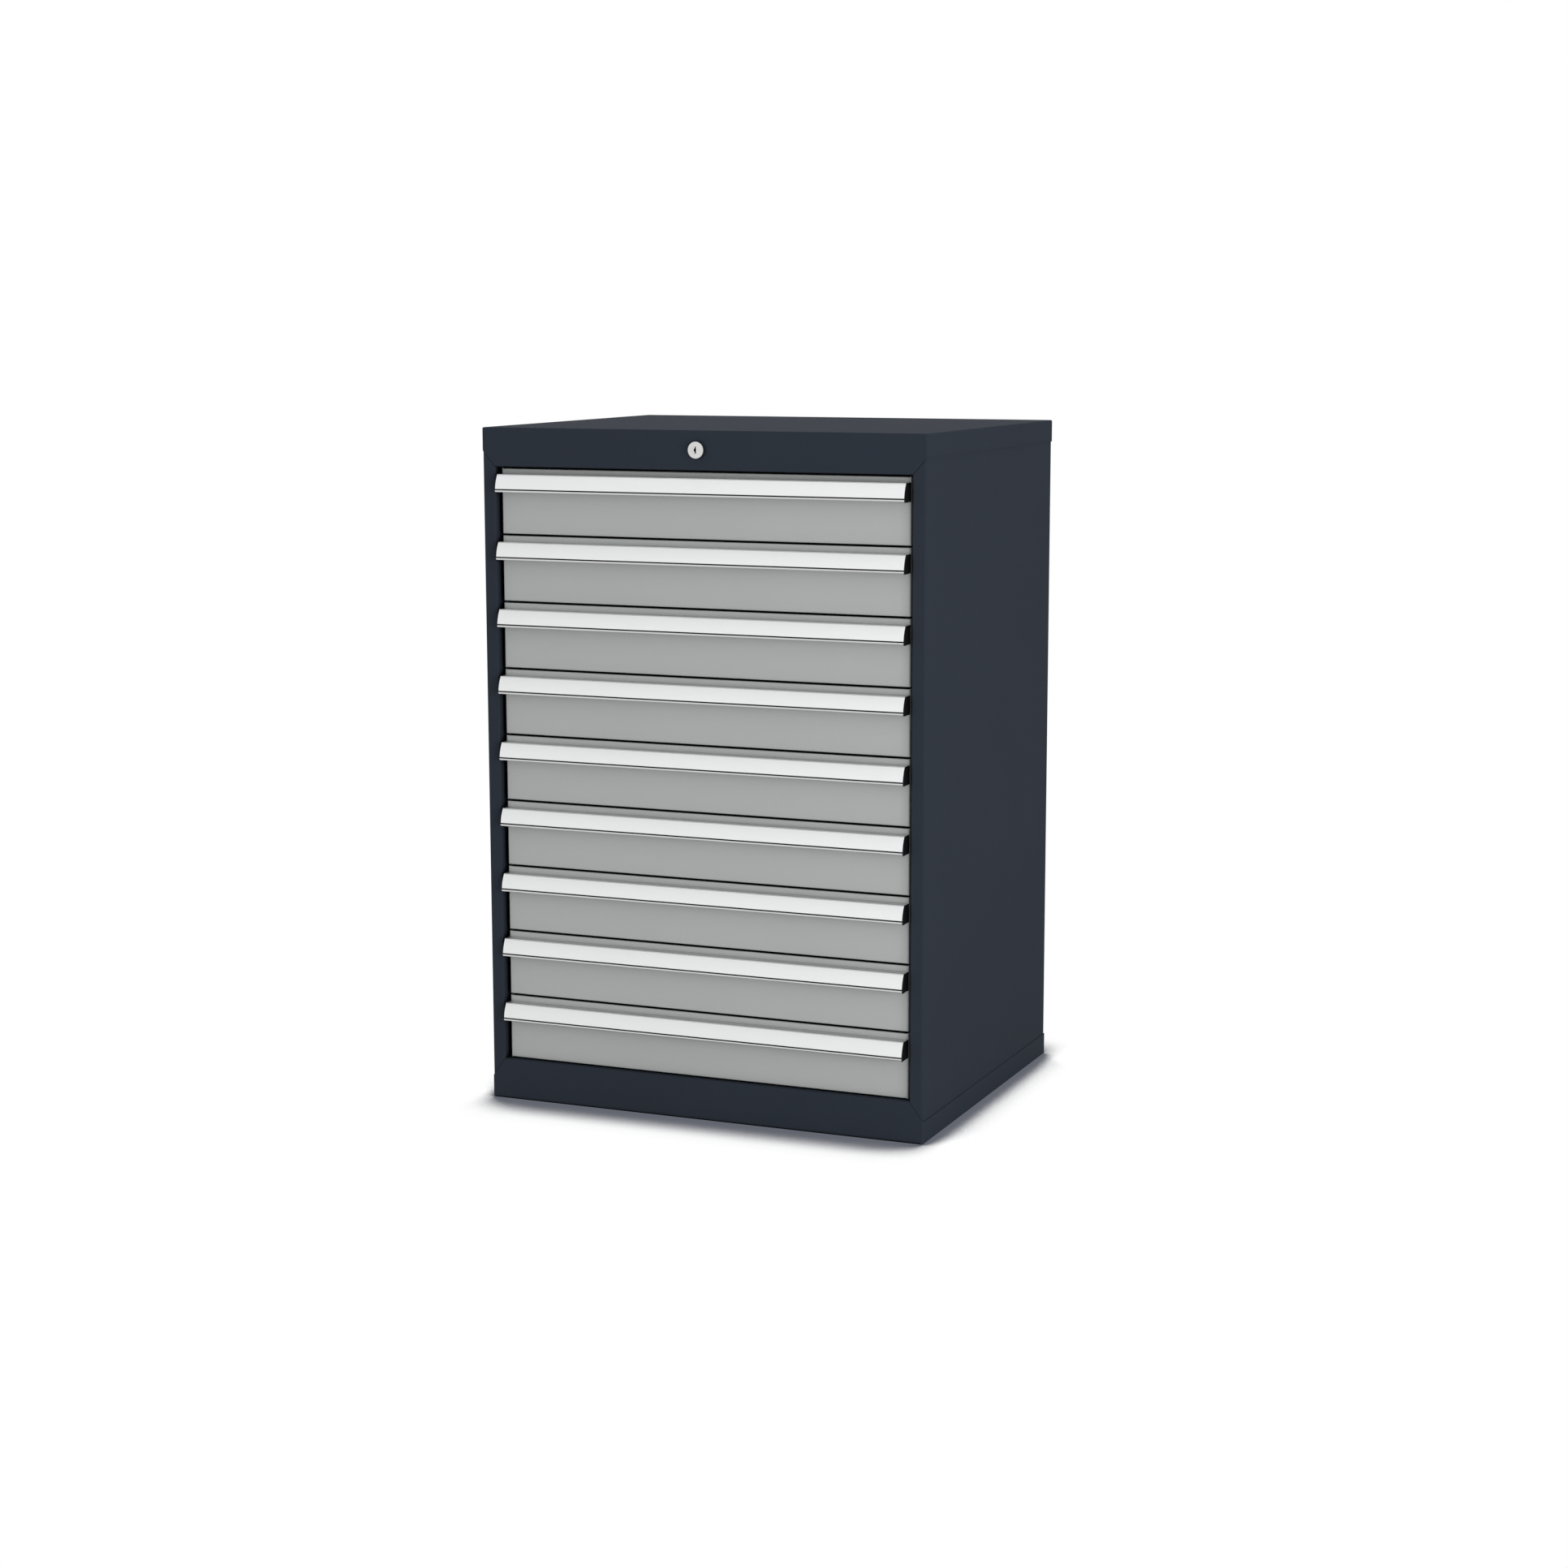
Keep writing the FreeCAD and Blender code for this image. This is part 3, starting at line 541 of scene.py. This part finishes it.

# %% The finish of the card
# The white at both folded ends of the film is a painted highlight, laid into the card's colour.
fold_highlight_width, painted_fold_highlight = 1.8 * mm, (0.93, 0.94, 0.94, 1)
# Bands painted into the card's colour: a painted highlight above the groove, painted shade for the dark
# of the groove that the card sits in, and a thin line of painted shade for the seam at the top.
painted_shade_and_highlight_bands = [((19.9, 21.1), (0.88, 0.89, 0.88, 1)),     # the bright edge above the groove
              ((21.1, 24), (0.004, 0.004, 0.005, 1)),    # the groove
              ((0, 1.05), (0.02, 0.02, 0.022, 1))]       # the seam at the top


def between(tree, value, low, high):
    """1 where the value lies between low and high."""
    return maths(tree, "COMPARE", value, (low + high) / 2, (high - low) / 2)


def label_finish():
    card = finish("card_under_film", dark=(0.868, 0.885, 0.883), light=(0.898, 0.915, 0.913),
                  rough=(0.30, 0.42), bump_mm=0.01, grain_scale=1200.0, stretch=(0.2, 1, 1),
                  fixed=[("Specular IOR Level", 0.3)])
    tree = card.node_tree
    base = tree.nodes["Principled BSDF"].inputs["Base Color"]
    position = tree.nodes["Texture Coordinate"].outputs["Object"]
    # Paint the highlight of the folded film at both ends, then the bands of painted highlight and shade.
    fold_highlight_mask = between(tree, off_centre(tree, position), grip_high.x - fold_highlight_width, grip_high.x)
    colour = mix_colours(tree, fold_highlight_mask, base.links[0].from_socket, painted_fold_highlight)
    drop = add_node(tree, "ShaderNodeAttribute", attribute_name="drop").outputs["Fac"]
    for (low, high), painted_tone in painted_shade_and_highlight_bands:
        colour = mix_colours(tree, between(tree, drop, low, high), colour, painted_tone)
    feed(tree, base, colour)
    return card


strip.data.materials.append(label_finish())
print("strip finish", strip.data.materials[0].name)

# %% Copy the strip to the other grips
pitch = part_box("drawer_1_front")[0].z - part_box("drawer_2_front")[0].z
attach(strip, "drawer_1")
for n in drawer_numbers[1:]:
    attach(copy_to(strip, Vector((0, 0, -(n - 1) * pitch)), f"drawer_{n}_label_strip"),
            f"drawer_{n}")
print("label strips", len(drawer_numbers), "with a pitch of", round(pitch / mm, 2), "mm")

# %% [markdown]
# ## Rivets at the back
#
# Blind rivets hold the back panel to the flanges of the side panels. A rivet head is a low dome: a
# thin cylinder whose end is inset and raised a little, then inset again and pushed in for the dimple
# of its drawn stem. An array along the flange would be quicker, but it makes one piece of them all,
# so each rivet is a copy.

# %% Model one rivet
rivet_radius, rivet_height = 3.4 * mm, 0.9 * mm
dome_inset, dome_rise = 1.4 * mm, 0.15 * mm
dimple_inset, dimple_depth = 0.8 * mm, 0.5 * mm
flange_width = 18 * mm
flange_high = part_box("right_side_panel")[1]
back_low, back_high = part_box("back_panel")
rivet_x = (back_high.x + flange_high.x - flange_width) / 2


def pick_faces(mesh, wanted):
    """In edit mode, select only the faces for which wanted(face) is true."""
    bpy.ops.mesh.select_mode(type="FACE")
    bpy.ops.mesh.select_all(action="DESELECT")
    faces = bmesh.from_edit_mesh(mesh)
    for face in faces.faces:
        face.select_set(wanted(face))
    bmesh.update_edit_mesh(mesh)


def model_rivet():
    start_clean()
    bpy.ops.mesh.primitive_cylinder_add(
        vertices=20, radius=rivet_radius, depth=rivet_height, rotation=(math.pi / 2, 0, 0),
        location=(rivet_x, flange_high.y + rivet_height / 2, 0))
    rivet = settle(bpy.context.object, "rivet")
    bpy.ops.object.mode_set(mode="EDIT")
    pick_faces(rivet.data, lambda face: face.normal.y > 0.9)
    bpy.ops.mesh.inset(thickness=dome_inset)
    bpy.ops.transform.translate(value=(0, dome_rise, 0))
    bpy.ops.mesh.inset(thickness=dimple_inset)
    bpy.ops.transform.translate(value=(0, -dimple_depth, 0))
    bpy.ops.object.mode_set(mode="OBJECT")
    return rivet


first_rivet = model_rivet()
first_rivet.data.materials.append(zinc)
print("rivet of", len(first_rivet.data.polygons), "faces, at x", round(rivet_x, 4))

# %% Copy the rivet along both flanges
rivets_a_side = 7
end_margin = 70 * mm   # from the last rivet to the end of the back panel
lowest, highest = back_low.z + end_margin, back_high.z - end_margin
rivet_step = (highest - lowest) / (rivets_a_side - 1)
for side, label in ((1, "right"), (-1, "left")):
    for k in range(rivets_a_side):
        shift = Vector(((side - 1) * rivet_x, 0, lowest + k * rivet_step))
        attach(copy_to(first_rivet, shift, f"{label}_back_rivet_{k + 1}"), "cabinet")
bpy.data.objects.remove(first_rivet)
print("rivets", 2 * rivets_a_side)

# %% [markdown]
# ## Floor and backdrop
#
# A white floor and a white world make a plain studio. What the camera, a reflection or a glass sees
# of them is white of strength 1, and the light on the object is set apart from that. Only the soft
# shadow of the cabinet is kept on the floor. It could be caught by itself and laid over white later,
# but here it is a colour, so that one render is enough: the floor darkens where the Ambient
# Occlusion node finds the cabinet close by, further out in front, where the shadow falls, than at
# the side.

# %% What is seen, and what gives light
def white_where_seen(tree, seen, lit):
    """seen for the camera, for reflections and through glass, lit for all other rays."""
    path = add_node(tree, "ShaderNodeLightPath")
    either = maths(tree, "MAXIMUM", path.outputs["Is Camera Ray"], path.outputs["Is Glossy Ray"])
    mix = add_node(tree, "ShaderNodeMixShader")
    feed(tree, mix.inputs[0], maths(tree, "MAXIMUM", either, path.outputs["Is Transmission Ray"]))
    feed(tree, mix.inputs[1], lit)
    feed(tree, mix.inputs[2], seen)
    return mix.outputs[0]


print("backdrop helper ready")

# %% The shadow on the floor
shadow_reach, shadow_samples = 0.13, 16
shadow_colour = (0.125, 0.133, 0.158, 1)
front_range = (0.67, 0.955)   # how open the floor is where the shadow is full, and where it ends
side_range = (0.56, 0.69)
side_face = packed_box[1][0]
side_begins, side_holds = side_face - 5 * mm, side_face + 30 * mm


def floor_shadow(tree):
    """White, and the colour of the shadow close to the cabinet."""
    contact = add_node(tree, "ShaderNodeAmbientOcclusion", samples=shadow_samples)
    feed(tree, contact.inputs["Distance"], shadow_reach)
    in_front = smooth_mask(tree, contact.outputs["AO"], *front_range)
    at_side = smooth_mask(tree, contact.outputs["AO"], *side_range)
    place = add_node(tree, "ShaderNodeTexCoord")
    beside = smooth_mask(tree, off_centre(tree, place.outputs["Object"]), side_begins, side_holds)
    return mix_colours(tree, mix_numbers(tree, beside, in_front, at_side), shadow_colour, white)


print("shadow reaches", shadow_reach, "m")

# %% Floor
floor_size, floor_drop = 60, 0.2 * mm
floor_lit = (0.94, 0.94, 0.94, 1)


def studio_floor():
    start_clean()
    bpy.ops.mesh.primitive_plane_add(size=floor_size, location=(0, 0, -floor_drop))
    floor = settle(bpy.context.object, "studio_floor")
    material = bpy.data.materials.new("studio_white")
    material.use_nodes = True
    tree = material.node_tree
    tree.nodes.remove(tree.nodes["Principled BSDF"])
    lit = add_node(tree, "ShaderNodeBsdfDiffuse")
    feed(tree, lit.inputs["Color"], floor_lit)
    seen = add_node(tree, "ShaderNodeEmission")
    feed(tree, seen.inputs["Color"], floor_shadow(tree))
    feed(tree, tree.nodes["Material Output"].inputs["Surface"],
         white_where_seen(tree, seen.outputs[0], lit.outputs[0]))
    floor.data.materials.append(material)


studio_floor()
print("floor laid,", floor_size, "m wide")

# %% [markdown]
# ## Light
#
# The world gives even light from all round. A large low lamp at the right front lights the side and
# the drawers without deep shadows under the grips, and one overhead lifts the top cover a little.
# A picture of a studio could light it too, but lamps are easier to move and to reason about. All
# are kept at a level at which a pale colour comes out at three quarters of its value or more.

# %% World
def studio_world(light):
    world = bpy.data.worlds.new("studio_world")
    bpy.context.scene.world = world
    world.use_nodes = True
    tree = world.node_tree
    lit = tree.nodes["Background"]
    seen = add_node(tree, "ShaderNodeBackground")
    for backdrop, strength in ((lit, light), (seen, 1.0)):
        feed(tree, backdrop.inputs["Color"], white)
        feed(tree, backdrop.inputs["Strength"], strength)
    feed(tree, tree.nodes["World Output"].inputs["Surface"],
         white_where_seen(tree, seen.outputs[0], lit.outputs[0]))


world_light = 0.66
studio_world(world_light)
print("world light", world_light)

# %% Lamps
def soft_lamp(name, place, target, size, watts):
    """A square lamp that shines from place to target, unseen by the camera and by reflections."""
    data = bpy.data.lights.new(name, "AREA")
    data.size = size
    data.energy = watts
    lamp = bpy.data.objects.new(name, data)
    lamp.location = place
    lamp.rotation_euler = (Vector(target) - Vector(place)).to_track_quat("-Z", "Y").to_euler()
    lamp.visible_camera = False
    lamp.visible_glossy = False
    bpy.context.scene.collection.objects.link(lamp)
    print(name, watts, "W")


soft_lamp("key_lamp", place=(3.4, -2.8, 0.5), target=(0, 0, 0.4), size=2.5, watts=92)
soft_lamp("top_lamp", place=(0, 0.2, 3.6), target=(0, 0.2, 1), size=1.6, watts=18)
bpy.context.scene.view_settings.view_transform = "Standard"
